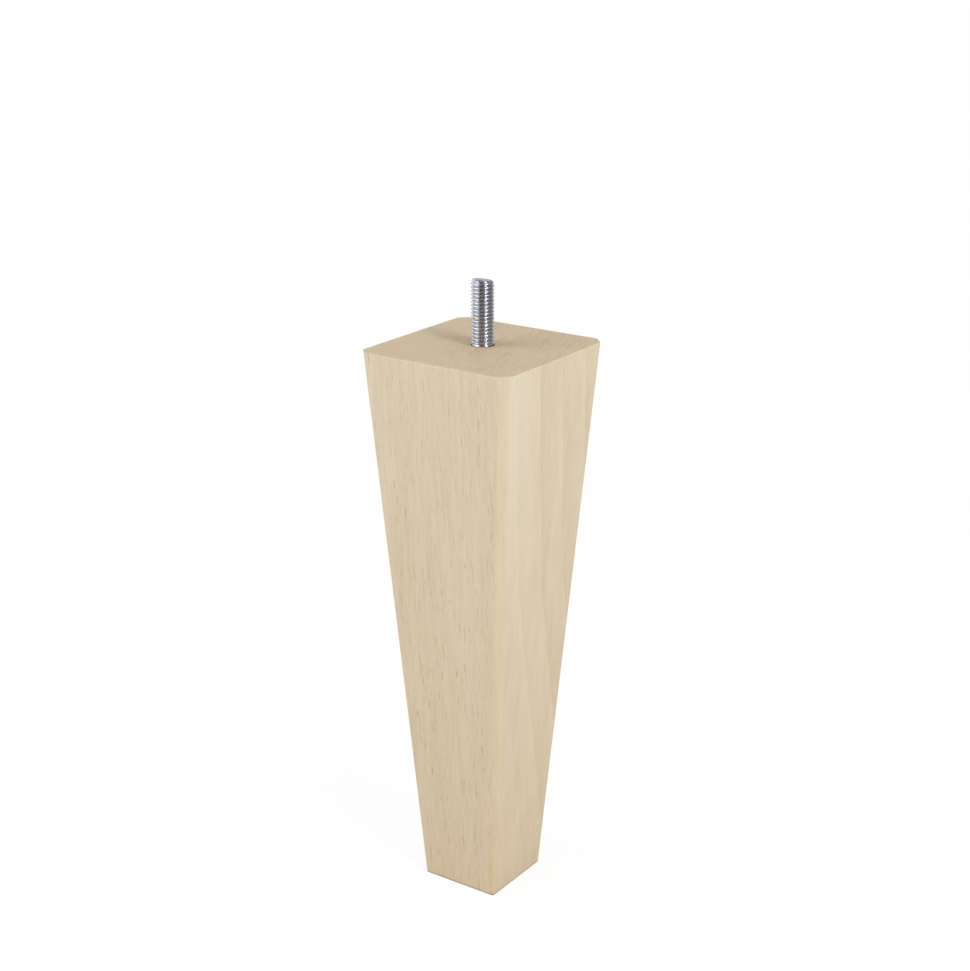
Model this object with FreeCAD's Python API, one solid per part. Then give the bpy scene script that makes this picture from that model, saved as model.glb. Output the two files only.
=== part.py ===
import FreeCAD, Part
import math
import os

# Tapered square furniture leg: one block of beech with a hanger bolt driven into its wide end.
# Millimetres, +Z up. The origin is the middle of the foot, on the floor.

# Beech block, widths over its flat sides; a bevel is the strip it takes off each of two sides
LEG_HEIGHT = 200.0
TOP_WIDTH = 60.0
FOOT_WIDTH = 30.0
TOP_BEVEL = 3.0
FOOT_BEVEL = 0.6
EASED_EDGE_RADIUS = 0.5

# Hanger bolt: rolled M8 machine thread above, plain shank in the hole's mouth, wood screw below
THREAD_DIAMETER = 7.8
SHANK_DIAMETER = 7.1
CORE_DIAMETER = 5.8
STUD_LENGTH = 23.0
STUD_CHAMFER = 0.6
SHANK_LENGTH = 5.0
SCREW_LENGTH = 32.0
POINT_LENGTH = 7.0

# Stepped hole that takes the bolt
MOUTH_CLEARANCE = 0.2
CORE_CLEARANCE = 0.05
POINT_CLEARANCE = 2.0
DRILL_POINT_ANGLE = 118.0

ORIGIN = FreeCAD.Vector(0, 0, 0)
X_AXIS = FreeCAD.Vector(1, 0, 0)
Z_AXIS = FreeCAD.Vector(0, 0, 1)


def make_taper():
    """Sharp square taper, drawn lying along Y and then stood up."""
    foot = FOOT_WIDTH / 2
    top = TOP_WIDTH / 2
    taper = Part.makeWedge(-foot, 0, -foot, -top, -top, foot, LEG_HEIGHT, foot, top, top)
    return taper.rotate(ORIGIN, X_AXIS, 90)


def make_bevel_cutter():
    """Waste outside one bevel: a slab on the bevel's plane, which cuts deeper at the top than at the foot.

    The plane holds the middle of the bevel at both ends and runs square to the block's diagonal. The slab
    is longer and wider than the bevel, so that it passes clear of the block on every other side.
    """
    foot_inset = (FOOT_WIDTH - FOOT_BEVEL) / 2
    top_inset = (TOP_WIDTH - TOP_BEVEL) / 2
    foot_middle = FreeCAD.Vector(foot_inset, foot_inset, 0)
    top_middle = FreeCAD.Vector(top_inset, top_inset, LEG_HEIGHT)
    rise = top_middle - foot_middle
    across = FreeCAD.Vector(1, -1, 0).normalize() * TOP_WIDTH

    low = foot_middle - rise
    high = top_middle + rise
    corners = [low - across, low + across, high + across, high - across]
    face = Part.Face(Part.makePolygon(corners + corners[:1]))
    return face.extrude(rise.cross(across).normalize() * TOP_WIDTH)


def make_block():
    """Square taper with its four arrises bevelled, wider and wider towards the top, and both ends eased."""
    cutter = make_bevel_cutter()
    cutters = [cutter.rotated(ORIGIN, Z_AXIS, 90 * quarter) for quarter in range(4)]
    bevelled = make_taper().cut(cutters)
    end_edges = [edge for edge in bevelled.Edges if edge.BoundBox.ZLength < EASED_EDGE_RADIUS]
    return bevelled.makeFillet(EASED_EDGE_RADIUS, end_edges)


def turned(profile):
    """Solid of revolution about the Z axis from a half outline of (radius, height) points."""
    outline = [FreeCAD.Vector(radius, 0, height) for radius, height in profile]
    face = Part.Face(Part.makePolygon(outline + outline[:1]))
    return face.revolve(ORIGIN, Z_AXIS, 360)


def make_hole():
    """Space drilled for the bolt: a wide mouth for its shank, a pilot for its core and the drill's point."""
    mouth_radius = THREAD_DIAMETER / 2 + MOUTH_CLEARANCE
    pilot_radius = CORE_DIAMETER / 2 + CORE_CLEARANCE
    mouth_floor = LEG_HEIGHT - SHANK_LENGTH
    pilot_end = mouth_floor - SCREW_LENGTH - POINT_CLEARANCE
    drill_point = pilot_radius / math.tan(math.radians(DRILL_POINT_ANGLE / 2))
    return turned([
        (0, pilot_end - drill_point),
        (pilot_radius, pilot_end),
        (pilot_radius, mouth_floor),
        (mouth_radius, mouth_floor),
        (mouth_radius, LEG_HEIGHT),
        (0, LEG_HEIGHT),
    ])


def make_leg_body():
    """Beech leg: the tapered block less the stepped hole in its top end."""
    return make_block().cut(make_hole()).Solids[0]


def make_hanger_bolt():
    """Hanger bolt from its gimlet point up: core, shank seated on the mouth's floor, run-out, stud, chamfer."""
    thread_radius = THREAD_DIAMETER / 2
    shank_radius = SHANK_DIAMETER / 2
    core_radius = CORE_DIAMETER / 2
    shoulder = LEG_HEIGHT - SHANK_LENGTH
    tip = shoulder - SCREW_LENGTH
    stud_end = LEG_HEIGHT + STUD_LENGTH
    return turned([
        (0, tip),
        (core_radius, tip + POINT_LENGTH),
        (core_radius, shoulder),
        (shank_radius, shoulder),
        (shank_radius, LEG_HEIGHT - (thread_radius - shank_radius)),
        (thread_radius, LEG_HEIGHT),
        (thread_radius, stud_end - STUD_CHAMFER),
        (thread_radius - STUD_CHAMFER, stud_end),
        (0, stud_end),
    ])


os.makedirs("parts", exist_ok=True)
make_leg_body().exportStep("parts/leg_body.step")
make_hanger_bolt().exportStep("parts/hanger_bolt.step")
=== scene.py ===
# %% [markdown]
# # A tapered beech furniture leg
# This lesson dresses a furniture leg: a square block of beech that tapers to its foot, with the
# threaded stud of a hanger bolt in its wide end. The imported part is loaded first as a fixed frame.
# Everything made later sits in that same frame, in metres, with the floor at height zero.

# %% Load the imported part
import math
import bmesh
import bpy
import numpy as np
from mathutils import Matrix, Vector


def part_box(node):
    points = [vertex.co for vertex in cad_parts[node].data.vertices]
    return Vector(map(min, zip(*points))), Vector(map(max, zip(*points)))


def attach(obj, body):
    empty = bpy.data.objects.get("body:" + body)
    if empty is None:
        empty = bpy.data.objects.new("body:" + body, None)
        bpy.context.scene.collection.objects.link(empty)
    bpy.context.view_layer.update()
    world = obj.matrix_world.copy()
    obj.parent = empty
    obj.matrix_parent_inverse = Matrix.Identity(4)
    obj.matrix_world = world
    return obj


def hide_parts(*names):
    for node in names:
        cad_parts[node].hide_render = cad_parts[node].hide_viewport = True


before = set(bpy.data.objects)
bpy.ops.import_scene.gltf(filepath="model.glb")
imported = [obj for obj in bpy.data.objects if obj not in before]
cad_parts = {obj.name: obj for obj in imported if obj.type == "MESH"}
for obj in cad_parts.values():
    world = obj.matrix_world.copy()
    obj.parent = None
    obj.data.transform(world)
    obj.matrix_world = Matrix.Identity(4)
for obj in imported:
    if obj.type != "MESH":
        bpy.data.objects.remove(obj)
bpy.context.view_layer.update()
print("nodes in the frame:", sorted(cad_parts))

# %% [markdown]
# ## Sizes
# Heights and the thread's radius are read from the frame, so they can't drift from the solids. The
# other sizes are those that the solids were drawn with, such as the widths over the flat sides.

# %% Sizes of the leg and its bolt
MM = 0.001
leg_low, leg_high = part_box("leg_body")
bolt_low, bolt_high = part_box("hanger_bolt")

LEG_HEIGHT = leg_high.z
TOP_HALF_WIDTH = 30.0 * MM
FOOT_HALF_WIDTH = 15.0 * MM
TOP_BEVEL = 3.0 * MM
FOOT_BEVEL = 0.6 * MM
EASED_EDGE_RADIUS = 0.5 * MM

MOUTH_RADIUS = 4.1 * MM
MOUTH_DEPTH = 5.0 * MM
PILOT_RADIUS = 2.95 * MM
PILOT_END = LEG_HEIGHT - 39.0 * MM
DRILL_POINT = 1.77 * MM

THREAD_RADIUS = bolt_high.x
STUD_END = bolt_high.z
SCREW_TIP = bolt_low.z
print(f"leg {LEG_HEIGHT / MM:.1f} mm high, stud {2 * THREAD_RADIUS / MM:.1f} mm across")

# %% [markdown]
# ## Grids
# Both pieces are sheets of quads: rows run along the piece and columns run round it. Where a row
# shrinks to a point, or two sheets share a ring, vertices coincide, and merging them closes the mesh.

# %% Turn grids of points into one closed mesh
MERGE_DISTANCE = 1e-7
SLIVER_LENGTH = 1e-8
CUBIC_CM = (10 * MM) ** 3


def ring_quads(rows, columns):
    """Quads between neighbouring rows and columns, with the last column joined to the first one."""
    index = np.arange(rows * columns).reshape(rows, columns)
    beside = np.roll(index, -1, axis=1)
    return np.stack([index[:-1], beside[:-1], beside[1:], index[1:]], axis=-1).reshape(-1, 4)


def closed_piece(name, points, quads, sharp_degrees):
    """Object at the origin from an array of points and an array of quads, merged where points coincide."""
    mesh = bpy.data.meshes.new(name)
    mesh.from_pydata(points, [], quads.tolist())
    work = bmesh.new()
    work.from_mesh(mesh)
    bmesh.ops.remove_doubles(work, verts=work.verts, dist=MERGE_DISTANCE)
    bmesh.ops.dissolve_degenerate(work, edges=work.edges, dist=SLIVER_LENGTH)
    open_edges = sum(not edge.is_manifold for edge in work.edges)
    volume = work.calc_volume(signed=True) / CUBIC_CM
    work.to_mesh(mesh)
    work.free()
    mesh.polygons.foreach_set("use_smooth", np.ones(len(mesh.polygons), bool))
    mesh.set_sharp_from_angle(angle=math.radians(sharp_degrees))
    piece = bpy.data.objects.new(name, mesh)
    bpy.context.scene.collection.objects.link(piece)
    print(f"{name}: {len(mesh.polygons)} faces, {open_edges} open edges, {volume:.2f} cm3")
    return piece


print("quads in a sheet of 3 rows and 4 columns:", len(ring_quads(3, 4)))

# %% [markdown]
# ## The outline of the block, level by level
# A level of the block is a square whose corners are cut off flat. The maker planes the four long arrises
# away more at the top than at the foot, so the bevel's size is a function of the height. Sanding leaves a
# tiny arc at each bend. Complex numbers keep the formula short: a quarter of the outline times the
# imaginary unit is the next quarter.

# %% One level of the block
BEND_RADIUS = 0.4 * MM
BEVEL_TURN = math.pi / 4
bend_angles = np.linspace(0, BEVEL_TURN, 6)
bevel_places = np.array([0.06, 0.25, 0.5, 0.75, 0.94])
flat_places = np.concatenate([[0.99], np.linspace(0.96, -0.96, 34), [-0.99]])


def bevelled_square(half_width, bevel):
    """Rows of x + iy, anticlockwise: a bend, the bevel, a bend and a side, four times over.

    A bend is an arc, its centre plus its radius times e^(i angle). The bevel and the side are straight.
    """
    half_width = half_width[:, None]
    inner = half_width - bevel[:, None] - BEND_RADIUS * math.tan(BEVEL_TURN / 2)
    outer = half_width - BEND_RADIUS
    first_bend = outer + 1j * inner + BEND_RADIUS * np.exp(1j * bend_angles)
    last_bend = inner + 1j * outer + BEND_RADIUS * np.exp(1j * (bend_angles + BEVEL_TURN))
    bevel_flat = first_bend[:, -1:] + (last_bend[:, :1] - first_bend[:, -1:]) * bevel_places
    side_flat = half_width * 1j + inner * flat_places
    corner_and_side = np.concatenate([first_bend, bevel_flat, last_bend, side_flat], axis=1)
    return np.concatenate([corner_and_side * 1j**quarter for quarter in range(4)], axis=1)


def side_half_width(height):
    """Half the width over two opposite flat sides, which grows evenly with the height."""
    return FOOT_HALF_WIDTH + (TOP_HALF_WIDTH - FOOT_HALF_WIDTH) * height / LEG_HEIGHT


def bevel_size(height):
    """Strip that the bevel takes off each side, which grows evenly with the height."""
    return FOOT_BEVEL + (TOP_BEVEL - FOOT_BEVEL) * height / LEG_HEIGHT


print(f"bevel {bevel_size(0) / MM:.1f} mm at the foot, {bevel_size(LEG_HEIGHT) / MM:.1f} mm at the top")

# %% [markdown]
# ## The block's meridian
# The sheet starts in the middle of the foot, turns up round the eased foot edge, climbs the side, turns
# in over the eased top edge, crosses the end grain and goes down into the drilled hole. Each stretch
# gives its own rows. Where an eased edge sets the outline in, the bevel's strip gets shorter too.

# %% Rows of the block from the foot to the top edge
BEVEL_LOST_PER_INSET = 2 - math.sqrt(2)
side_lean = math.atan2(TOP_HALF_WIDTH - FOOT_HALF_WIDTH, LEG_HEIGHT)
ease_steps = np.linspace(0, 1, 7)


def eased_edge(corner_half_width, centre_height, first_angle, last_angle):
    """Half widths and heights along a quarter round: its centre plus the eased radius along each angle."""
    angle = first_angle + (last_angle - first_angle) * ease_steps
    centre = corner_half_width - EASED_EDGE_RADIUS / math.cos(side_lean)
    return (
        centre + EASED_EDGE_RADIUS * np.cos(angle),
        centre_height + EASED_EDGE_RADIUS * np.sin(angle),
    )


foot_edge = eased_edge(side_half_width(EASED_EDGE_RADIUS), EASED_EDGE_RADIUS, -math.pi / 2, -side_lean)
top_ease_height = LEG_HEIGHT - EASED_EDGE_RADIUS
top_edge = eased_edge(side_half_width(top_ease_height), top_ease_height, -side_lean, math.pi / 2)

side_share = np.array([0.004, 0.02, 0.06, *np.linspace(0.1, 0.9, 17), 0.94, 0.98, 0.996])
side_height = foot_edge[1][-1] + (top_edge[1][0] - foot_edge[1][-1]) * side_share
half_width = np.concatenate([foot_edge[0], side_half_width(side_height), top_edge[0]])
height = np.concatenate([foot_edge[1], side_height, top_edge[1]])
inset = side_half_width(height) - half_width
upright_rows = bevelled_square(half_width, bevel_size(height) - BEVEL_LOST_PER_INSET * inset)

foot_share = np.array([0, 0.25, 0.5, 0.75, 0.9, 0.97])
foot_rows = foot_share[:, None] * upright_rows[0]
block_rows = np.concatenate([foot_rows, upright_rows])
block_heights = np.concatenate([0 * foot_share, height])[:, None] * np.ones(block_rows.shape[1])
print("block rows and columns:", block_rows.shape)

# %% [markdown]
# ## End grain
# The end grain is flat, apart from the rim of the drilled hole. Driving the bolt in has pushed a low, ragged
# lip of fibres up round it, mostly on one side. Rows blend from the square outline to the round rim, and
# the lip is a height that falls off quickly with the distance from the rim.

# %% Rows across the end grain
LIP_HEIGHT = 0.3 * MM
LIP_REACH = 0.6 * MM
LIP_SIDE = math.radians(-58)
LIP_LEAST = 0.12
LIP_FALL = 1.5
RAGGED_LEAST = 0.55
RAGGED_TONES = 24
RAGGED_WAVES = 3, 60
draw = np.random.default_rng(8)

rim_angle = np.angle(block_rows[-1])
rim = MOUTH_RADIUS * np.exp(1j * rim_angle)
near_square = [0.006, 0.03, 0.1, 0.25, 0.45, 0.62, 0.74, 0.82]
near_rim = [0.87, 0.905, 0.93, 0.95, 0.965, 0.98, 0.99, 1.0]
rim_share = np.array(near_square + near_rim)[:, None]
end_rows = (1 - rim_share) * block_rows[-1] + rim_share * rim


def ragged(angle):
    """Sum of cosines of whole numbers of waves round the rim, drawn with their phases, scaled to 0 to 1."""
    waves = draw.integers(*RAGGED_WAVES, RAGGED_TONES)
    phase = draw.uniform(0, 2 * math.pi, RAGGED_TONES)
    total = np.cos(angle[:, None] * waves + phase).sum(axis=1)
    return (total - total.min()) / np.ptp(total)


lip_share = LIP_LEAST + (1 - LIP_LEAST) * np.clip(np.cos(rim_angle - LIP_SIDE), 0, 1) ** LIP_FALL
lip = LIP_HEIGHT * lip_share * (RAGGED_LEAST + (1 - RAGGED_LEAST) * ragged(rim_angle))
rise = lip * np.exp(-(((np.abs(end_rows) - MOUTH_RADIUS) / LIP_REACH) ** 2))
end_heights = LEG_HEIGHT + rise
print(f"lip up to {lip.max() / MM:.2f} mm high")

# %% [markdown]
# ## Hole
# The hole has a wide mouth for the bolt's shank, a narrower pilot for its screw and the cone that the drill's
# point leaves. Its rows are the rim, shrunk to each radius and set at each height. They close the sheet.

# %% Rows down the hole, and the whole leg
hole = np.array([
    (MOUTH_RADIUS, LEG_HEIGHT - 0.3 * MM),
    (MOUTH_RADIUS, LEG_HEIGHT - 1.2 * MM),
    (MOUTH_RADIUS, LEG_HEIGHT - 3.0 * MM),
    (MOUTH_RADIUS, LEG_HEIGHT - MOUTH_DEPTH),
    (PILOT_RADIUS, LEG_HEIGHT - MOUTH_DEPTH),
    (PILOT_RADIUS, PILOT_END),
    (0, PILOT_END - DRILL_POINT),
])
hole_rows = hole[:, :1] / MOUTH_RADIUS * rim
hole_heights = np.repeat(hole[:, 1:], len(rim), axis=1)

leg_rows = np.concatenate([block_rows, end_rows, hole_rows])
leg_heights = np.concatenate([block_heights, end_heights, hole_heights])
leg_points = np.stack([leg_rows.real, leg_rows.imag, leg_heights], axis=-1).reshape(-1, 3)
leg = closed_piece("beech_leg", leg_points, ring_quads(*leg_rows.shape), sharp_degrees=50)

# %% [markdown]
# ## Threads
# A thread is a profile carried along a helix. Here a row of the sheet follows the helix, so that the crest
# and the root are whole rows and stay crisp. After one turn a row arrives one pitch higher, so the last
# column is joined to the first column of the row one pitch above. Points past either end are held at the
# end's height, where every row has the same radius, and merging leaves a clean ring.

# %% Tubes whose radius follows a helix or a ring
COLUMNS = 96
turn = np.linspace(0, 2 * math.pi, COLUMNS, endpoint=False)


def helical_tube(start, end, pitch, steps, radius):
    """Points and quads with height = start + pitch (row / steps + angle / full turn - 1), held at both ends.

    radius(phase, height) is the profile: phase runs from 0 to 1 over a pitch. The end may differ per column.
    """
    rows = math.ceil(((np.max(end) - start) / pitch + 2) * steps) + 1
    row = np.arange(rows)[:, None]
    height = np.clip(start + pitch * (row / steps + turn / (2 * math.pi) - 1), start, end)
    reach = radius(np.broadcast_to(row / steps % 1, height.shape), height)
    points = np.stack([reach * np.cos(turn), reach * np.sin(turn), height], axis=-1).reshape(-1, 3)

    index = np.arange(rows * COLUMNS).reshape(rows, COLUMNS)
    here = index[:-steps]
    beside = np.concatenate([index[:-steps, 1:], index[steps:, :1]], axis=1)
    quads = np.stack([here[:-1], beside[:-1], beside[1:], here[1:]], axis=-1).reshape(-1, 4)
    return points, quads


def turned_tube(radius, height):
    """Points and quads of rings round the axis: one radius per ring, and one height or a row of heights."""
    radius = np.reshape(radius, (-1, 1))
    height = np.broadcast_to(height, (len(radius), COLUMNS))
    points = np.stack([radius * np.cos(turn), radius * np.sin(turn), height], axis=-1).reshape(-1, 3)
    return points, ring_quads(len(radius), COLUMNS)


print("columns round the bolt:", COLUMNS)

# %% [markdown]
# ## The hanger bolt's profiles
# A hanger bolt has two threads. The end that shows is an M8 machine thread with a pitch of 1.25 mm, rolled,
# so its crests and roots are a little round. It was sheared off the bar, so its end isn't quite square to its
# axis, and its chamfer is deeper than the thread, which runs out in it. The other end is a coarse wood screw
# with a gimlet point, which is out of sight in the leg. A plain shank joins them.

# %% The two thread profiles
MACHINE_PITCH = 1.25 * MM
MACHINE_DEPTH = 0.65 * MM
WAVE_HEIGHT = 1.22
WAVE_CUT = 1.02
STUD_CHAMFER = MACHINE_DEPTH + 0.05 * MM
THREAD_START = LEG_HEIGHT - 0.2 * MM
RUN_OUT = 1.5 * MM
SHEAR_DROP = 1.0 * MM
SHEAR_HIGH_SIDE = math.radians(-100)
SHANK_RADIUS = 3.55 * MM
SHOULDER = LEG_HEIGHT - MOUTH_DEPTH
CORE_RADIUS = 2.9 * MM
SCREW_PITCH = 3.5 * MM
FIN_HALF_WIDTH = 0.2
POINT_LENGTH = 7.0 * MM
POINT_CURVE = 0.8
stud_end = STUD_END - SHEAR_DROP * (1 - np.cos(turn - SHEAR_HIGH_SIDE)) / 2


def smooth(low, high, value):
    """0 below low, 1 above high, and the cubic 3t^2 - 2t^3 between them."""
    share = np.clip((value - low) / (high - low), 0, 1)
    return share * share * (3 - 2 * share)


def machine_thread(phase, height):
    """A triangle wave, cut flat at crest and root and then eased.

    It fades out below, to the shank, and above it is turned off to the cone of the chamfer.
    """
    wave = 1 - 4 * np.abs(phase - 0.5)
    bite = smooth(-WAVE_CUT, WAVE_CUT, WAVE_HEIGHT * wave)
    thread = THREAD_RADIUS - MACHINE_DEPTH * (1 - bite)
    fade = smooth(THREAD_START, THREAD_START + RUN_OUT, height)
    cone = THREAD_RADIUS - STUD_CHAMFER + (stud_end - height)
    return np.minimum(SHANK_RADIUS + (thread - SHANK_RADIUS) * fade, cone)


def screw_thread(phase, height):
    """A thin V fin, its half width a share of the pitch, on a core that tapers to the gimlet point.

    The fin fades out at the shoulder.
    """
    taper = np.clip((height - SCREW_TIP) / POINT_LENGTH, 0, 1) ** POINT_CURVE
    fin = np.clip(1 - np.abs(phase - 0.5) / FIN_HALF_WIDTH, 0, 1)
    fade = 1 - smooth(SHOULDER - SCREW_PITCH, SHOULDER, height)
    return taper * (CORE_RADIUS + (THREAD_RADIUS - CORE_RADIUS) * fin * fade)


print(f"turns of the stud's thread: {(STUD_END - THREAD_START) / MACHINE_PITCH:.1f}")

# %% [markdown]
# ## The whole bolt
# Four tubes make the bolt from its point to its end: the screw, the shank, the stud and the sheared end,
# whose rings shrink to its middle. Neighbours share a ring, so that merging joins them.

# %% The bolt from its point to its end
SCREW_STEPS = 20
MACHINE_STEPS = 16
shank_radii = [CORE_RADIUS, SHANK_RADIUS, SHANK_RADIUS]
shank_heights = np.array([[SHOULDER], [SHOULDER], [THREAD_START]])
end_share = np.array([[1], [0.8], [0.4], [0]])
end_middle = STUD_END - SHEAR_DROP / 2
tubes = [
    helical_tube(SCREW_TIP, SHOULDER, SCREW_PITCH, SCREW_STEPS, screw_thread),
    turned_tube(shank_radii, shank_heights),
    helical_tube(THREAD_START, stud_end, MACHINE_PITCH, MACHINE_STEPS, machine_thread),
    turned_tube((THREAD_RADIUS - STUD_CHAMFER) * end_share, end_middle + end_share * (stud_end - end_middle)),
]
firsts = np.cumsum([0] + [len(points) for points, _ in tubes[:-1]])
bolt_points = np.concatenate([points for points, _ in tubes])
bolt_quads = np.concatenate([quads + first for (_, quads), first in zip(tubes, firsts)])
bolt = closed_piece("hanger_bolt_threaded", bolt_points, bolt_quads, sharp_degrees=40)

# %% [markdown]
# ## Both pieces take the place of their solids
# The solids stay in the frame for collision. The new pieces ride on the part's one body, and the solids
# they replace are hidden.

# %% Ride and replace
for piece, node, slot in ((leg, "leg_body", "beech"), (bolt, "hanger_bolt", "zinc_plated_steel")):
    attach(piece, "root")
    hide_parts(node)
print("pieces:", leg.name, bolt.name)

# %% [markdown]
# ## Colours and nodes
# Colours are picked as sRGB hex values, as a colour picker shows them, and shaders want linear light. One
# function converts them. One more adds a node with its settings and fills its inputs. For a Map Range node,
# the list holds the value, the two ends of its range and the two ends of the new range, which are 0 and 1
# unless they are given. In a Mix node, input 0 is the share, inputs 6 and 7 are the two colours and output 2
# is the mixed colour. Named pairs of numbers below are such ranges.

# %% Helpers for materials


def linear(code):
    """Linear RGBA from an sRGB hex code: c / 12.92 in the darks, ((c + 0.055) / 1.055)^2.4 above."""
    channels = np.array([int(code[first:first + 2], 16) for first in (1, 3, 5)]) / 255
    light = np.where(channels <= 0.04045, channels / 12.92, ((channels + 0.055) / 1.055) ** 2.4)
    return (*light, 1.0)


def add_node(tree, kind, inputs=(), **settings):
    """Add a shader node. A list fills its inputs in order, and a dictionary those that it names or numbers.

    An input takes a value, the output that feeds it, or a node whose first output does.
    """
    node = tree.nodes.new("ShaderNode" + kind)
    for name, value in settings.items():
        setattr(node, name, value)
    for key, value in inputs.items() if isinstance(inputs, dict) else enumerate(inputs):
        if isinstance(value, bpy.types.Node):
            value = value.outputs[0]
        if isinstance(value, bpy.types.NodeSocket):
            tree.links.new(value, node.inputs[key])
        else:
            node.inputs[key].default_value = value
    return node


def new_material(name):
    """An empty node material, its tree and its output node."""
    material = bpy.data.materials.new(name)
    material.use_nodes = True
    material.node_tree.nodes.clear()
    output = add_node(material.node_tree, "OutputMaterial")
    return material, material.node_tree, output


print("mid grey #808080 in linear light:", round(linear("#808080")[0], 3))

# %% [markdown]
# ## Beech
# Raw beech, planed and sanded: pale, close-grained and dull. Its mark is the broad ray. Rays are thin sheets
# of cells that run from the bark towards the heart. They are about 0.3 mm thick, 3 mm tall and many
# millimetres deep, so they show as short dark dashes on the face that is cut across them, as faint flecks on
# the face that runs along them and as fine streaks on the end grain. One solid pattern in the wood's own
# directions gives all three. A gentle noise bends those directions a little, as no tree grows straight.

# %% The wood's own directions
RAY_DIRECTION = Vector((-0.2, 0.98, 0.0))
RING_DIRECTION = Vector((0.98, 0.2, 0.0))
WOBBLE_MM = Vector((24, 24, 70))
WOBBLE_REACH_MM = Vector((1.1, 1.1, 0))
MM_PER_METRE = Vector((1000, 1000, 1000))
NOISE_MIDDLE = Vector((0.5, 0.5, 0.5))

beech, tree, beech_output = new_material("beech_sanded")
place = add_node(tree, "TexCoord")
in_mm = add_node(tree, "VectorMath", [place.outputs["Object"], MM_PER_METRE], operation="MULTIPLY")
wobble_place = add_node(tree, "VectorMath", [in_mm, WOBBLE_MM], operation="DIVIDE")
wobble = add_node(tree, "TexNoise", {"Vector": wobble_place, "Scale": 1, "Detail": 2}).outputs["Color"]
centred = add_node(tree, "VectorMath", [wobble, NOISE_MIDDLE], operation="SUBTRACT")
bent = add_node(tree, "VectorMath", [centred, WOBBLE_REACH_MM, in_mm], operation="MULTIPLY_ADD")
depth = add_node(tree, "VectorMath", [bent, RAY_DIRECTION], operation="DOT_PRODUCT").outputs["Value"]
along_ring = add_node(tree, "VectorMath", [bent, RING_DIRECTION], operation="DOT_PRODUCT").outputs["Value"]
up = add_node(tree, "SeparateXYZ", [bent]).outputs["Z"]
wood = add_node(tree, "CombineXYZ", [along_ring, depth, up])
print("beech runs its rays along", tuple(round(part, 2) for part in RAY_DIRECTION))

# %% [markdown]
# ### How a face is cut
# The same wood looks different on each face. Dot products of the surface's normal with the wood's directions
# say how far a face is cut across the rays, how far it lies across the rings and how much of the end grain it
# shows. Opposite faces would show the same rings, so the one towards -X has them at half strength.

# %% How a face is cut
RAY_FACING = 0.8, 0.96
RAY_SHOW = 0.07, 1.0
RING_FACING = 0.5, 0.9
RING_SIDE = -0.5, 0.5
RING_SIDE_SHOW = 0.5, 1.0
END_FACING = 0.12, 0.45

normal = place.outputs["Normal"]
to_rays = add_node(tree, "VectorMath", [normal, RAY_DIRECTION], operation="DOT_PRODUCT").outputs["Value"]
ray_facing = add_node(tree, "Math", [to_rays], operation="ABSOLUTE")
side_show = add_node(tree, "MapRange", [ray_facing, *RAY_FACING, *RAY_SHOW])
to_rings = add_node(tree, "VectorMath", [normal, RING_DIRECTION], operation="DOT_PRODUCT").outputs["Value"]
ring_facing = add_node(tree, "Math", [to_rings], operation="ABSOLUTE")
ring_face = add_node(tree, "MapRange", [ring_facing, *RING_FACING], interpolation_type="SMOOTHSTEP")
ring_side = add_node(tree, "MapRange", [to_rings, *RING_SIDE, *RING_SIDE_SHOW])
ring_show = add_node(tree, "Math", [ring_face, ring_side], operation="MULTIPLY")
to_end = add_node(tree, "SeparateXYZ", [normal]).outputs["Z"]
end_facing = add_node(tree, "Math", [to_end], operation="ABSOLUTE")
end_amount = add_node(tree, "MapRange", [end_facing, *END_FACING], interpolation_type="SMOOTHSTEP")
print("rays show fully from a dot product of", RAY_FACING[1])

# %% [markdown]
# ### Streaks and drifts
# Fine fibre streaks run along the leg, over broad drifts of colour. Each is a noise that is stretched to the
# width, depth and length of one streak or drift. Both are weak in beech.

# %% Streaks and drifts
STREAK_MM = Vector((1.6, 3.6, 36))
DRIFT_MM = Vector((13, 7, 190))
STREAK_TONE = 1.25
DRIFT_TONE = 0.4
TONE_SHIFT = -0.17

streak_place = add_node(tree, "VectorMath", [wood, STREAK_MM], operation="DIVIDE")
streak = add_node(tree, "TexNoise", {"Vector": streak_place, "Scale": 1, "Detail": 4, "Roughness": 0.75})
drift_place = add_node(tree, "VectorMath", [wood, DRIFT_MM], operation="DIVIDE")
drift = add_node(tree, "TexNoise", {"Vector": drift_place, "Scale": 1, "Detail": 2})
with_streak = add_node(tree, "Math", [streak, STREAK_TONE, TONE_SHIFT], operation="MULTIPLY_ADD")
with_drift = add_node(tree, "Math", [drift, DRIFT_TONE, with_streak], operation="MULTIPLY_ADD")
print(f"streaks {STREAK_MM.x:.1f} mm wide, drifts {DRIFT_MM.x:.0f} mm wide")

# %% [markdown]
# ### Growth rings
# A ring brightens slowly and then drops at a sharp dark edge. The rings lean a little, and more towards the
# foot. Their count through the wood is the depth divided by a ring's width, and its fraction says how far
# through one ring a point lies. They are drawn only on the faces that lie across them.

# %% Growth rings and the ground colour
RING_WIDTH_MM = 13.6
RING_EDGE_MM = 14.1
RING_LEAN = 0.15
FOOT_LEAN = 0.13
LEAN_HEIGHT_MM = 120
RING_LINE = 0.0, 0.08
RING_LINE_TONE = -0.34, -0.16
RING_TONE = 0.27
RING_CLEAR_MM = -13, -5
RING_CLEAR = 0.3, 1.0
BEECH_DARK = "#cab899"
BEECH_LIGHT = "#dfd0b6"

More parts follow.
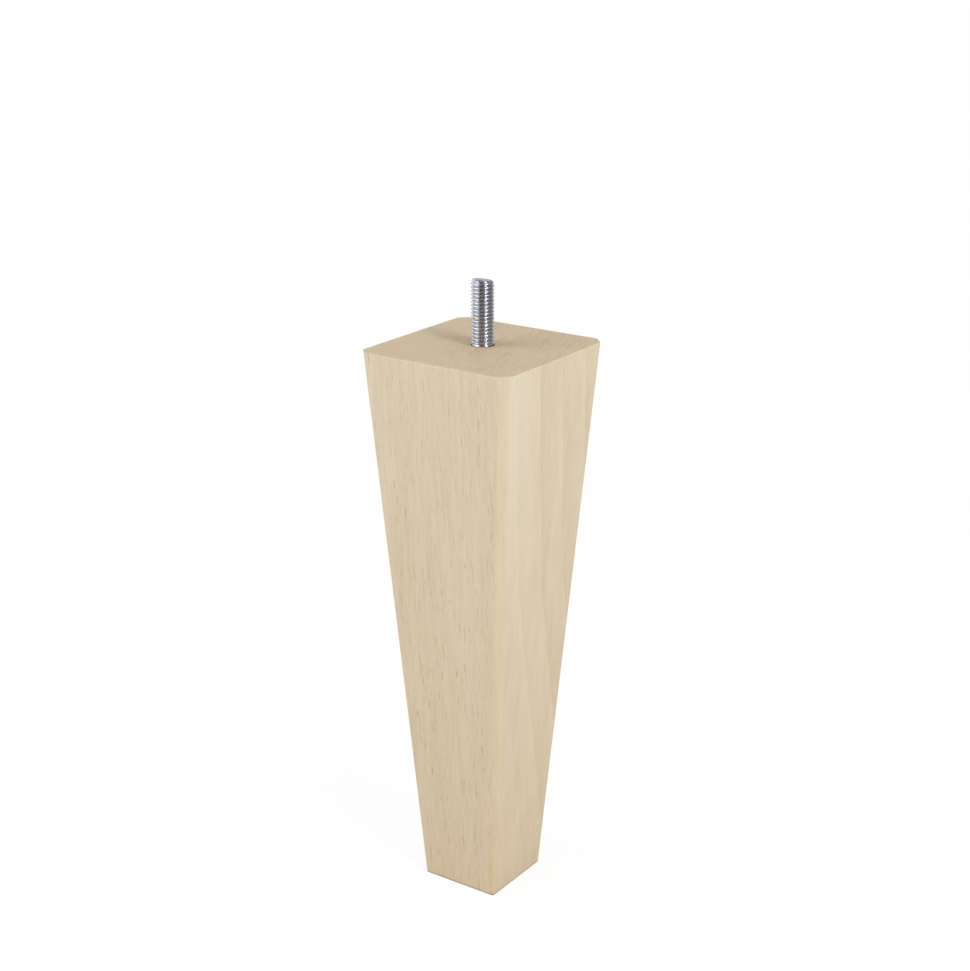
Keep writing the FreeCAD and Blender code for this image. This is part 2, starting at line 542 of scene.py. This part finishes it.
leaning = add_node(tree, "Math", [up, RING_LEAN, depth], operation="MULTIPLY_ADD")
foot_bend = add_node(tree, "MapRange", [up, LEAN_HEIGHT_MM, 0, 0, -FOOT_LEAN * LEAN_HEIGHT_MM])
ring_depth = add_node(tree, "Math", [leaning, foot_bend], operation="ADD")
past_edge = add_node(tree, "Math", [ring_depth, RING_EDGE_MM], operation="SUBTRACT")
ring_count = add_node(tree, "Math", [past_edge, RING_WIDTH_MM], operation="DIVIDE")
ring = add_node(tree, "Math", [ring_count], operation="FRACT")
ring_line = add_node(tree, "MapRange", [ring, *RING_LINE, *RING_LINE_TONE])
ring_tone = add_node(tree, "Math", [ring, RING_TONE, ring_line], operation="MULTIPLY_ADD")
ring_clear = add_node(tree, "MapRange", [ring_depth, *RING_CLEAR_MM, *RING_CLEAR])
ring_drawn = add_node(tree, "Math", [ring_show, ring_clear], operation="MULTIPLY")
tone = add_node(tree, "Math", [ring_tone, ring_drawn, with_drift], operation="MULTIPLY_ADD")
ground = add_node(
    tree, "Mix", {0: tone, 6: linear(BEECH_DARK), 7: linear(BEECH_LIGHT)}, data_type="RGBA", clamp_factor=True
).outputs[2]
print("a growth ring every", RING_WIDTH_MM, "mm")

# %% [markdown]
# ### A pale streak
# The block carries a paler streak beside one arris. It ends at a ring's edge, so it is a range of the depth
# through the rings, and it fades towards the foot. A dot product with a sideways diagonal measures how far a
# point lies across the arris, which is where the streak begins.

# %% Pale streak
BEECH_PALE = "#e2d6bf"
ACROSS_ARRIS = Vector((0.707, 0.707, 0.0037))
PALE_START_MM = 1.2, 3.0
PALE_END_MM = 14.4, 4.0
PALE_FACING = 0.25, 0.6
PALE_FADE_MM = 60, 190
PALE_FADE = 0.06, 0.6

arris_across = add_node(tree, "VectorMath", [bent, ACROSS_ARRIS], operation="DOT_PRODUCT").outputs["Value"]
pale_start = add_node(tree, "MapRange", [arris_across, *PALE_START_MM], interpolation_type="SMOOTHSTEP")
pale_end = add_node(tree, "MapRange", [ring_depth, *PALE_END_MM], interpolation_type="SMOOTHSTEP")
pale_face = add_node(tree, "MapRange", [to_rings, *PALE_FACING])
pale_fade = add_node(tree, "MapRange", [up, *PALE_FADE_MM, *PALE_FADE], interpolation_type="SMOOTHSTEP")
pale_band = add_node(tree, "Math", [pale_start, pale_end], operation="MULTIPLY")
pale_here = add_node(tree, "Math", [pale_band, pale_face], operation="MULTIPLY")
pale_amount = add_node(tree, "Math", [pale_here, pale_fade], operation="MULTIPLY")
paled = add_node(tree, "Mix", {0: pale_amount, 6: ground, 7: linear(BEECH_PALE)}, data_type="RGBA").outputs[2]
print("pale streak fades from", PALE_FADE_MM[1], "to", PALE_FADE_MM[0], "mm above the floor")

# %% [markdown]
# ### A warm arris and a warmer foot
# A narrow warm streak runs down that same arris. The distance across the arris gives its width, and a dot
# product with the diagonal out to the arris says how near the surface a point lies. The small last part of
# that diagonal takes off the arris's own lean. The whole leg also grows a little warmer towards its foot.

# %% Warm arris and foot
BEECH_WARM = "#e3d4ab"
BEECH_WARM_FOOT = "#d6be92"
FOOT_TINT = "#faf5ef"
OUT_TO_ARRIS = Vector((0.707, -0.707, -0.0975))
WARM_MIDDLE_MM = 0.4
WARM_HALF_WIDTH_MM = 2.6, 1.0
WARM_SKIN_MM = 16, 19
WARM_SKIN = 0, 0.32
WARM_TOP_MM = 200, 176
WARM_TOP = 0.25, 1.0
WARM_FOOT_MM = 42, 26

arris_reach = add_node(tree, "VectorMath", [bent, OUT_TO_ARRIS], operation="DOT_PRODUCT").outputs["Value"]
off_middle = add_node(tree, "Math", [arris_across, WARM_MIDDLE_MM], operation="SUBTRACT")
arris_gap = add_node(tree, "Math", [off_middle], operation="ABSOLUTE")
warm_band = add_node(tree, "MapRange", [arris_gap, *WARM_HALF_WIDTH_MM], interpolation_type="SMOOTHSTEP")
warm_skin = add_node(
    tree, "MapRange", [arris_reach, *WARM_SKIN_MM, *WARM_SKIN], interpolation_type="SMOOTHSTEP"
)
warm_top = add_node(tree, "MapRange", [up, *WARM_TOP_MM, *WARM_TOP], interpolation_type="SMOOTHSTEP")
warm_here = add_node(tree, "Math", [warm_band, warm_skin], operation="MULTIPLY")
warm_amount = add_node(tree, "Math", [warm_here, warm_top], operation="MULTIPLY")
warm_foot = add_node(tree, "MapRange", [up, *WARM_FOOT_MM], interpolation_type="SMOOTHSTEP")
warm_color = add_node(
    tree, "Mix", {0: warm_foot, 6: linear(BEECH_WARM), 7: linear(BEECH_WARM_FOOT)}, data_type="RGBA"
).outputs[2]
warmed = add_node(tree, "Mix", {0: warm_amount, 6: paled, 7: warm_color}, data_type="RGBA").outputs[2]
towards_foot = add_node(tree, "MapRange", [up, LEG_HEIGHT / MM, 0])
footed = add_node(
    tree, "Mix", {0: towards_foot, 6: warmed, 7: linear(FOOT_TINT)}, data_type="RGBA", blend_type="MULTIPLY"
).outputs[2]
print("warm arris", 2 * WARM_HALF_WIDTH_MM[1], "to", 2 * WARM_HALF_WIDTH_MM[0], "mm wide")

# %% [markdown]
# ### Rays
# A Voronoi pattern scatters one point in each cell. With cells stretched to a ray's proportions, the
# neighbourhood of each point is a thin upright sheet, and the cell's random colour makes a few rays dark and
# leaves most of them faint. A long stretched noise gathers them in upright chains.

# %% Rays as thin sheets
RAY_CELL_MM = Vector((0.42, 15, 7))
RAY_CHAIN_MM = Vector((1.5, 9, 42))
ACROSS_RAYS = Vector((0.956, 0.317, 0.05))
RAY_CORE = 0.34, 0.18
RAY_CHANCE = 0.35, 1.0
RAY_STRENGTH = 0.03, 1.0
CHAIN_RANGE = 0.42, 0.64
CHAIN_STRENGTH = 0.12, 1.0

ray_across = add_node(tree, "VectorMath", [bent, ACROSS_RAYS], operation="DOT_PRODUCT").outputs["Value"]
ray_wood = add_node(tree, "CombineXYZ", [ray_across, depth, up])
ray_place = add_node(tree, "VectorMath", [ray_wood, RAY_CELL_MM], operation="DIVIDE")
ray_cell = add_node(tree, "TexVoronoi", {"Vector": ray_place, "Scale": 1, "Randomness": 1})
ray_core = add_node(tree, "MapRange", [ray_cell, *RAY_CORE], interpolation_type="SMOOTHSTEP")
ray_draw = add_node(tree, "SeparateColor", [ray_cell.outputs["Color"]])
ray_strength = add_node(tree, "MapRange", [ray_draw, *RAY_CHANCE, *RAY_STRENGTH])
chain_place = add_node(tree, "VectorMath", [ray_wood, RAY_CHAIN_MM], operation="DIVIDE")
chain = add_node(tree, "TexNoise", {"Vector": chain_place, "Scale": 1, "Detail": 1})
ray_chain = add_node(tree, "MapRange", [chain, *CHAIN_RANGE, *CHAIN_STRENGTH])
ray_chained = add_node(tree, "Math", [ray_strength, ray_chain], operation="MULTIPLY")
ray_dash = add_node(tree, "Math", [ray_core, ray_chained], operation="MULTIPLY")
print("one ray in each cell of", tuple(round(part, 2) for part in RAY_CELL_MM), "mm")

# %% [markdown]
# ### Lines among the rays
# Between the dashes, a finer noise adds thin lines of uneven length. Dashes and lines grow stronger towards
# the foot.

# %% Lines, and the strength towards the foot
RAY_LINE_MM = Vector((0.4, 5, 13))
LINE_RANGE = 0.61, 0.78
LINE_STRENGTH = 0, 0.8
TOP_TO_FOOT = 0, 1
RAY_TOP_TO_FOOT = 0.75, 1.1

line_place = add_node(tree, "VectorMath", [ray_wood, RAY_LINE_MM], operation="DIVIDE")
line_noise = add_node(tree, "TexNoise", {"Vector": line_place, "Scale": 1, "Detail": 2, "Roughness": 0.6})
ray_line = add_node(tree, "MapRange", [line_noise, *LINE_RANGE, *LINE_STRENGTH])
ray_either = add_node(tree, "Math", [ray_dash, ray_line], operation="MAXIMUM")
ray_by_height = add_node(tree, "MapRange", [towards_foot, *TOP_TO_FOOT, *RAY_TOP_TO_FOOT])
ray_dark = add_node(tree, "Math", [ray_either, ray_by_height], operation="MULTIPLY")
print("lines about", RAY_LINE_MM.z, "mm long")

# %% [markdown]
# ### Where the rays show
# A face that is cut across the rays shows them as dashes, and one that runs along them hardly at all. On the
# end grain they run together into streaks, clearest on one side, so there a stretched noise draws them.

# %% Rays on the sides and on the end grain
RAY_BROWN = "#9c8058"
END_STREAK_MM = Vector((0.8, 11, 60))
END_RANGE = 0.54, 0.76
END_STRENGTH = 0, 0.38
END_SIDE_MM = -12, 10
END_SIDE = 0.15, 1.0

end_place = add_node(tree, "VectorMath", [ray_wood, END_STREAK_MM], operation="DIVIDE")
end_noise = add_node(tree, "TexNoise", {"Vector": end_place, "Scale": 1, "Detail": 2})
end_streak = add_node(tree, "MapRange", [end_noise, *END_RANGE, *END_STRENGTH])
end_side = add_node(tree, "MapRange", [ray_across, *END_SIDE_MM, *END_SIDE])
end_dark = add_node(tree, "Math", [end_streak, end_side], operation="MULTIPLY")
end_show = add_node(tree, "Math", [end_dark, end_amount], operation="MULTIPLY")
side_dark = add_node(tree, "Math", [ray_dark, side_show], operation="MULTIPLY")
ray_amount = add_node(tree, "Math", [side_dark, end_show], operation="MAXIMUM")
rayed = add_node(tree, "Mix", {0: ray_amount, 6: footed, 7: linear(RAY_BROWN)}, data_type="RGBA").outputs[2]
print("streaks on the end grain:", END_STREAK_MM.y, "mm long")

# %% [markdown]
# ### Colour of the end grain
# Cut across, the fibres are open tubes that swallow light, so the end grain is a browner, darker beech. The
# drill pulled a few fibres up in front of the hole. Their crumbs are pale specks: a Voronoi pattern's points,
# some of them fainter than others, kept only near one place by the rim.

# %% End grain and specks
END_TINT = "#d0cbc4"
SPECK_PALE = "#efe6d2"
SPECK_MM = 1.7
SPECK_MIDDLE_MM = Vector((3.4, -4.9, LEG_HEIGHT / MM))
SPECK_REACH_MM = 5.5, 2.5
SPECK_CORE = 0.34, 0.12
SPECK_CHANCE = 0.2, 0.9
SPECK_STRENGTH = 0, 0.6

ended = add_node(
    tree, "Mix", {0: end_amount, 6: rayed, 7: linear(END_TINT)}, data_type="RGBA", blend_type="MULTIPLY"
).outputs[2]
speck_cell = add_node(tree, "TexVoronoi", {"Vector": in_mm, "Scale": 1 / SPECK_MM, "Randomness": 1})
speck_core = add_node(tree, "MapRange", [speck_cell, *SPECK_CORE])
speck_reach = add_node(tree, "VectorMath", [in_mm, SPECK_MIDDLE_MM], operation="DISTANCE").outputs["Value"]
speck_near = add_node(tree, "MapRange", [speck_reach, *SPECK_REACH_MM], interpolation_type="SMOOTHSTEP")
speck_draw = add_node(tree, "SeparateColor", [speck_cell.outputs["Color"]])
speck_strength = add_node(tree, "MapRange", [speck_draw, *SPECK_CHANCE, *SPECK_STRENGTH])
speck_here = add_node(tree, "Math", [speck_core, speck_near], operation="MULTIPLY")
speck_amount = add_node(tree, "Math", [speck_here, speck_strength], operation="MULTIPLY")
specked = add_node(
    tree, "Mix", {0: speck_amount, 6: ended, 7: linear(SPECK_PALE)}, data_type="RGBA"
).outputs[2]
print("specks within", SPECK_REACH_MM[0], "mm of one place by the rim")

# %% [markdown]
# ### Painted shade on the edge of the foot
# Where the eased edge round the foot meets the floor, it carries a thin dark line of painted contact shade.
# It is drawn where the surface is low, but not on the underside, which is level.

# %% Painted shade on the edge of the foot
FOOT_SHADE_TINT = "#94877c"
FOOT_SHADE_MM = 0.75, 0.3
FOOT_SHADE_FACING = 0.98, 0.85

# Painted contact shade: a darker tint is multiplied in on the low eased edge.
foot_shade_low = add_node(tree, "MapRange", [up, *FOOT_SHADE_MM])
foot_shade_bend = add_node(tree, "MapRange", [end_facing, *FOOT_SHADE_FACING])
foot_shade_amount = add_node(tree, "Math", [foot_shade_low, foot_shade_bend], operation="MULTIPLY")
beech_color = add_node(
    tree, "Mix", {0: foot_shade_amount, 6: specked, 7: linear(FOOT_SHADE_TINT)}, data_type="RGBA", blend_type="MULTIPLY"
).outputs[2]
print("painted foot shade", FOOT_SHADE_MM[0], "mm high")

# %% [markdown]
# ### Sheen and relief
# Sanded beech is dull, with a slightly silkier look along its darker streaks. The streaks and rays leave a
# faint relief of a few hundredths of a millimetre. Wood's IOR is about 1.5.

# %% Sheen and relief
BEECH_IOR = 1.5
STREAK_RANGE = 0.2, 0.8
BEECH_ROUGH = 0.56, 0.7
RAY_SINK = -0.6
RELIEF_MM = 0.05

beech_rough = add_node(tree, "MapRange", [streak, *STREAK_RANGE, *BEECH_ROUGH])
relief = add_node(tree, "Math", [ray_amount, RAY_SINK, streak], operation="MULTIPLY_ADD")
beech_bump = add_node(tree, "Bump", {"Height": relief, "Strength": 0.5, "Distance": RELIEF_MM * MM})
beech_shader = add_node(
    tree,
    "BsdfPrincipled",
    {"Base Color": beech_color, "Roughness": beech_rough, "IOR": BEECH_IOR, "Normal": beech_bump},
)
tree.links.new(beech_shader.outputs[0], beech_output.inputs["Surface"])
leg.data.materials.append(beech)
print("beech nodes:", len(tree.nodes))

# %% [markdown]
# ## Zinc-plated steel
# The bolt is rolled steel with bright zinc on it: a bluish grey metal with a soft shine. The plating is
# slightly mottled, which shows as small changes of shine. The roots of the thread carry painted shade: the
# colour darkens with the depth below the crests, but not at the sheared end.

# %% Zinc plating
ZINC_LIGHT = "#d8dbe3"
ZINC_DARK = "#c5c8d0"
ROOT_SHADE_GREY = "#5a5c62"
MOTTLE_MM = 0.5
MOTTLE_RANGE = 0.3, 0.7
ZINC_ROUGH = 0.2, 0.27
MOTTLE_RELIEF_MM = 0.02
ROOT_SHADE_REACH = THREAD_RADIUS - 0.35 * MM, THREAD_RADIUS - MACHINE_DEPTH
ROOT_SHADE_AMOUNT = 0, 0.38
ROOT_SHADE_HEIGHT = STUD_END - 1.2 * MM, STUD_END - 2.0 * MM

zinc, tree, zinc_output = new_material("zinc_plated_steel")
bolt_place = add_node(tree, "TexCoord").outputs["Object"]
mottle = add_node(tree, "TexNoise", {"Vector": bolt_place, "Scale": 1 / (MOTTLE_MM * MM), "Detail": 3})
plating = add_node(
    tree, "Mix", {0: mottle, 6: linear(ZINC_DARK), 7: linear(ZINC_LIGHT)}, data_type="RGBA"
).outputs[2]
level = add_node(tree, "VectorMath", [bolt_place, (1, 1, 0)], operation="MULTIPLY")
off_axis = add_node(tree, "VectorMath", [level], operation="LENGTH").outputs["Value"]
# Painted shade: the deeper a point lies below the crests, the more its colour turns to a dark grey.
sunk = add_node(tree, "MapRange", [off_axis, *ROOT_SHADE_REACH, *ROOT_SHADE_AMOUNT])
bolt_height = add_node(tree, "SeparateXYZ", [bolt_place]).outputs["Z"]
below_end = add_node(tree, "MapRange", [bolt_height, *ROOT_SHADE_HEIGHT])
painted_root_shade = add_node(tree, "Math", [sunk, below_end], operation="MULTIPLY")
zinc_color = add_node(tree, "Mix", {0: painted_root_shade, 6: plating, 7: linear(ROOT_SHADE_GREY)}, data_type="RGBA").outputs[2]
zinc_rough = add_node(tree, "MapRange", [mottle, *MOTTLE_RANGE, *ZINC_ROUGH])
zinc_bump = add_node(tree, "Bump", {"Height": mottle, "Strength": 0.1, "Distance": MOTTLE_RELIEF_MM * MM})
zinc_shader = add_node(
    tree,
    "BsdfPrincipled",
    {"Base Color": zinc_color, "Roughness": zinc_rough, "Metallic": 1.0, "Normal": zinc_bump},
)
tree.links.new(zinc_shader.outputs[0], zinc_output.inputs["Surface"])
bolt.data.materials.append(zinc)
print("zinc nodes:", len(tree.nodes))

# %% [markdown]
# ## White surroundings
# The leg stands in soft light before plain white. The camera, and metal that mirrors the room, see the
# surroundings as white at strength 1. Other rays see a dimmer sky, so that the lamps shape the leg.

# %% White surroundings
WHITE = 1, 1, 1, 1
SKY_STRENGTH = 0.765


def seen_share(tree):
    """1 for rays from the camera, mirrors and glass, and 0 for rays that carry light."""
    path = add_node(tree, "LightPath").outputs
    either = add_node(tree, "Math", [path["Is Camera Ray"], path["Is Glossy Ray"]], operation="MAXIMUM")
    return add_node(tree, "Math", [either, path["Is Transmission Ray"]], operation="MAXIMUM")


world = bpy.data.worlds.new("studio")
bpy.context.scene.world = world
world.use_nodes = True
tree = world.node_tree
tree.nodes.clear()
sky = add_node(tree, "Background", {"Color": WHITE, "Strength": SKY_STRENGTH})
backdrop = add_node(tree, "Background", {"Color": WHITE, "Strength": 1.0})
surround = add_node(tree, "MixShader", [seen_share(tree), sky, backdrop])
add_node(tree, "OutputWorld", {"Surface": surround})
print("sky strength:", SKY_STRENGTH)

# %% [markdown]
# ## Floor
# The floor looks mostly that same white, and the rest of it is a matt surface that keeps the leg's shadow.
# Farther from the leg it is all white, so that no horizon shows. Light that bounces up to the leg meets a
# greyer matt surface, which keeps the foot from glowing.

# %% White floor
FLOOR_HALF_SIZE = 8.0
FLOOR_BOUNCE = "#b4b4b4"
FLOOR_MATT = "#f7f7f7"
SHADOW_REACH = 0.15, 0.6
FLOOR_WHITE = 0.8, 1.0


def level_square(half_size, height):
    """Corners of a level square: half its size times each pair of signs, anticlockwise."""
    return [(-half_size, -half_size, height), (half_size, -half_size, height),
            (half_size, half_size, height), (-half_size, half_size, height)]


floor_mesh = bpy.data.meshes.new("floor")
floor_mesh.from_pydata(level_square(FLOOR_HALF_SIZE, 0), [], [[0, 1, 2, 3]])
floor = bpy.data.objects.new("floor", floor_mesh)
bpy.context.scene.collection.objects.link(floor)

floor_paint, tree, floor_output = new_material("floor_white_paint")
bounce = add_node(tree, "BsdfDiffuse", {"Color": linear(FLOOR_BOUNCE)})
matt = add_node(tree, "BsdfDiffuse", {"Color": linear(FLOOR_MATT)})
glow = add_node(tree, "Emission", {"Color": WHITE, "Strength": 1.0})
floor_place = add_node(tree, "TexCoord").outputs["Object"]
far = add_node(tree, "VectorMath", [floor_place], operation="LENGTH").outputs["Value"]
white_share = add_node(tree, "MapRange", [far, *SHADOW_REACH, *FLOOR_WHITE])
seen_floor = add_node(tree, "MixShader", [white_share, matt, glow])
floor_mix = add_node(tree, "MixShader", [seen_share(tree), bounce, seen_floor])
tree.links.new(floor_mix.outputs[0], floor_output.inputs["Surface"])
floor_mesh.materials.append(floor_paint)
print("floor:", 2 * FLOOR_HALF_SIZE, "m square")

# %% [markdown]
# ## Lamps
# Two soft boxes light the leg. The one on the right is tall and narrow: its shadow of the stud falls to the
# back left, and its mirror image is the white stripe down the thread. It leans, because the thread's flanks
# look up, and only a leaning box keeps the stripe straight. The one on the left is wide and fills the
# shadows. Each is placed by its bearing round the leg, measured like the camera's, its height angle and its
# distance.

# %% Soft boxes
LIGHT_TARGET = Vector((0, 0, 0.75 * LEG_HEIGHT))


def on_sphere(target, bearing, elevation, distance):
    """Point at a distance from the target; bearing 0 is on the -Y side and 90 degrees on the +X side."""
    bearing = math.radians(bearing)
    elevation = math.radians(elevation)
    level_reach = math.cos(elevation)
    away = Vector((math.sin(bearing) * level_reach, -math.cos(bearing) * level_reach, math.sin(elevation)))
    return target + distance * away


def look(thing, target):
    """Turn a lamp or camera to face the target, with its top up."""
    thing.rotation_euler = (target - thing.location).to_track_quat("-Z", "Y").to_euler()


for name, lamp_bearing, elevation, distance, wide, tall, lamp_lean, watts in (
    ("key_box", 76, 40, 1.1, 0.2, 0.9, -16, 7.2),
    ("fill_box", -42, 38, 1.3, 0.9, 0.9, 0, 8.7),
):
    data = bpy.data.lights.new(name, "AREA")
    data.shape = "RECTANGLE"
    data.size = wide
    data.size_y = tall
    data.energy = watts
    lamp = bpy.data.objects.new(name, data)
    bpy.context.scene.collection.objects.link(lamp)
    lamp.location = on_sphere(LIGHT_TARGET, lamp_bearing, elevation, distance)
    look(lamp, LIGHT_TARGET)
    lamp.rotation_euler.rotate_axis("Z", math.radians(lamp_lean))
    print(name, tuple(round(part, 2) for part in lamp.location))

# %% [markdown]
# ## Grey cards
# Bright metal shows what stands round it, and in white surroundings it looks flat. Photographers set grey
# cards round it, so that bright and dark stripes draw its form. Each card here is a strip of an upright
# cylinder round the leg, and a last one hangs overhead. Edges beside the key box lean as it does. The back
# card is low, so that the stud's end mirrors the white above it. Only mirrored rays meet the cards, so they
# change neither the light on the wood nor the background.

# %% Cards that the stud mirrors
CARD_DISTANCE = 0.32
CARD_COLUMNS = 25
CEILING_HALF_SIZE = 1.1
CEILING_HEIGHT = 1.2


def grey_card(name, points, quads, code):
    """Part of the studio that glows in one grey and is seen by mirrored rays alone."""
    mesh = bpy.data.meshes.new(name)
    mesh.from_pydata(points, [], quads)
    card = bpy.data.objects.new(name, mesh)
    bpy.context.scene.collection.objects.link(card)
    card.visible_camera = False
    card.visible_diffuse = False
    card.visible_shadow = False
    paper, tree, output = new_material(name + "_paper")
    grey = add_node(tree, "Emission", {"Color": linear(code), "Strength": 1.0})
    tree.links.new(grey.outputs[0], output.inputs["Surface"])
    mesh.materials.append(paper)
    print(name, code)


def curved_card(name, foot_bearings, top_bearings, tall, code):
    """Strip round the leg, from the floor up: x = distance sin(bearing), y = -distance cos(bearing).

    The bearings of its two sides are given at its foot and at its top, so its sides may lean.
    """
    foot, top = (np.radians(np.linspace(*pair, CARD_COLUMNS)) for pair in (foot_bearings, top_bearings))
    around = np.concatenate([foot, top])
    height = np.repeat([0, tall], CARD_COLUMNS)
    points = np.stack([CARD_DISTANCE * np.sin(around), -CARD_DISTANCE * np.cos(around), height], axis=-1)
    low = np.arange(CARD_COLUMNS - 1)
    high = low + CARD_COLUMNS
    grey_card(name, points, np.stack([low, low + 1, high + 1, high], axis=-1).tolist(), code)


curved_card("front_card", (-5, 57), (-19, 71), 0.75, "#66666c")
curved_card("right_card", (77, 190), (94, 190), 0.60, "#94949c")
curved_card("back_card", (190, 249), (190, 249), 0.25, "#94949c")
grey_card("ceiling_card", level_square(CEILING_HALF_SIZE, CEILING_HEIGHT), [[0, 1, 2, 3]], "#8c8c90")

# %% [markdown]
# ## Camera
# The camera stands to the right of the front face and looks down a little. It aims at a point on the leg's
# upper half, which puts the foot near the bottom of the picture. Its lens follows from how many pixels long
# the focal length is in a picture of 970 by 971 pixels.

# %% Camera
PICTURE_LONG_SIDE = 971
FOCAL_PIXELS = 1853.1
CAMERA_BEARING = 34.7943
CAMERA_ELEVATION = 18.9421
CAMERA_DISTANCE = 0.6413
CAMERA_AIM = Vector((0.00068, 0.00043, 0.1499))

camera_data = bpy.data.cameras.new("camera")
camera_data.lens = FOCAL_PIXELS * camera_data.sensor_width / PICTURE_LONG_SIDE
camera = bpy.data.objects.new("camera", camera_data)
bpy.context.scene.collection.objects.link(camera)
camera.location = on_sphere(CAMERA_AIM, CAMERA_BEARING, CAMERA_ELEVATION, CAMERA_DISTANCE)
look(camera, CAMERA_AIM)
bpy.context.scene.camera = camera
bpy.context.scene.view_settings.view_transform = "Standard"
print(f"lens {camera_data.lens:.2f} mm")
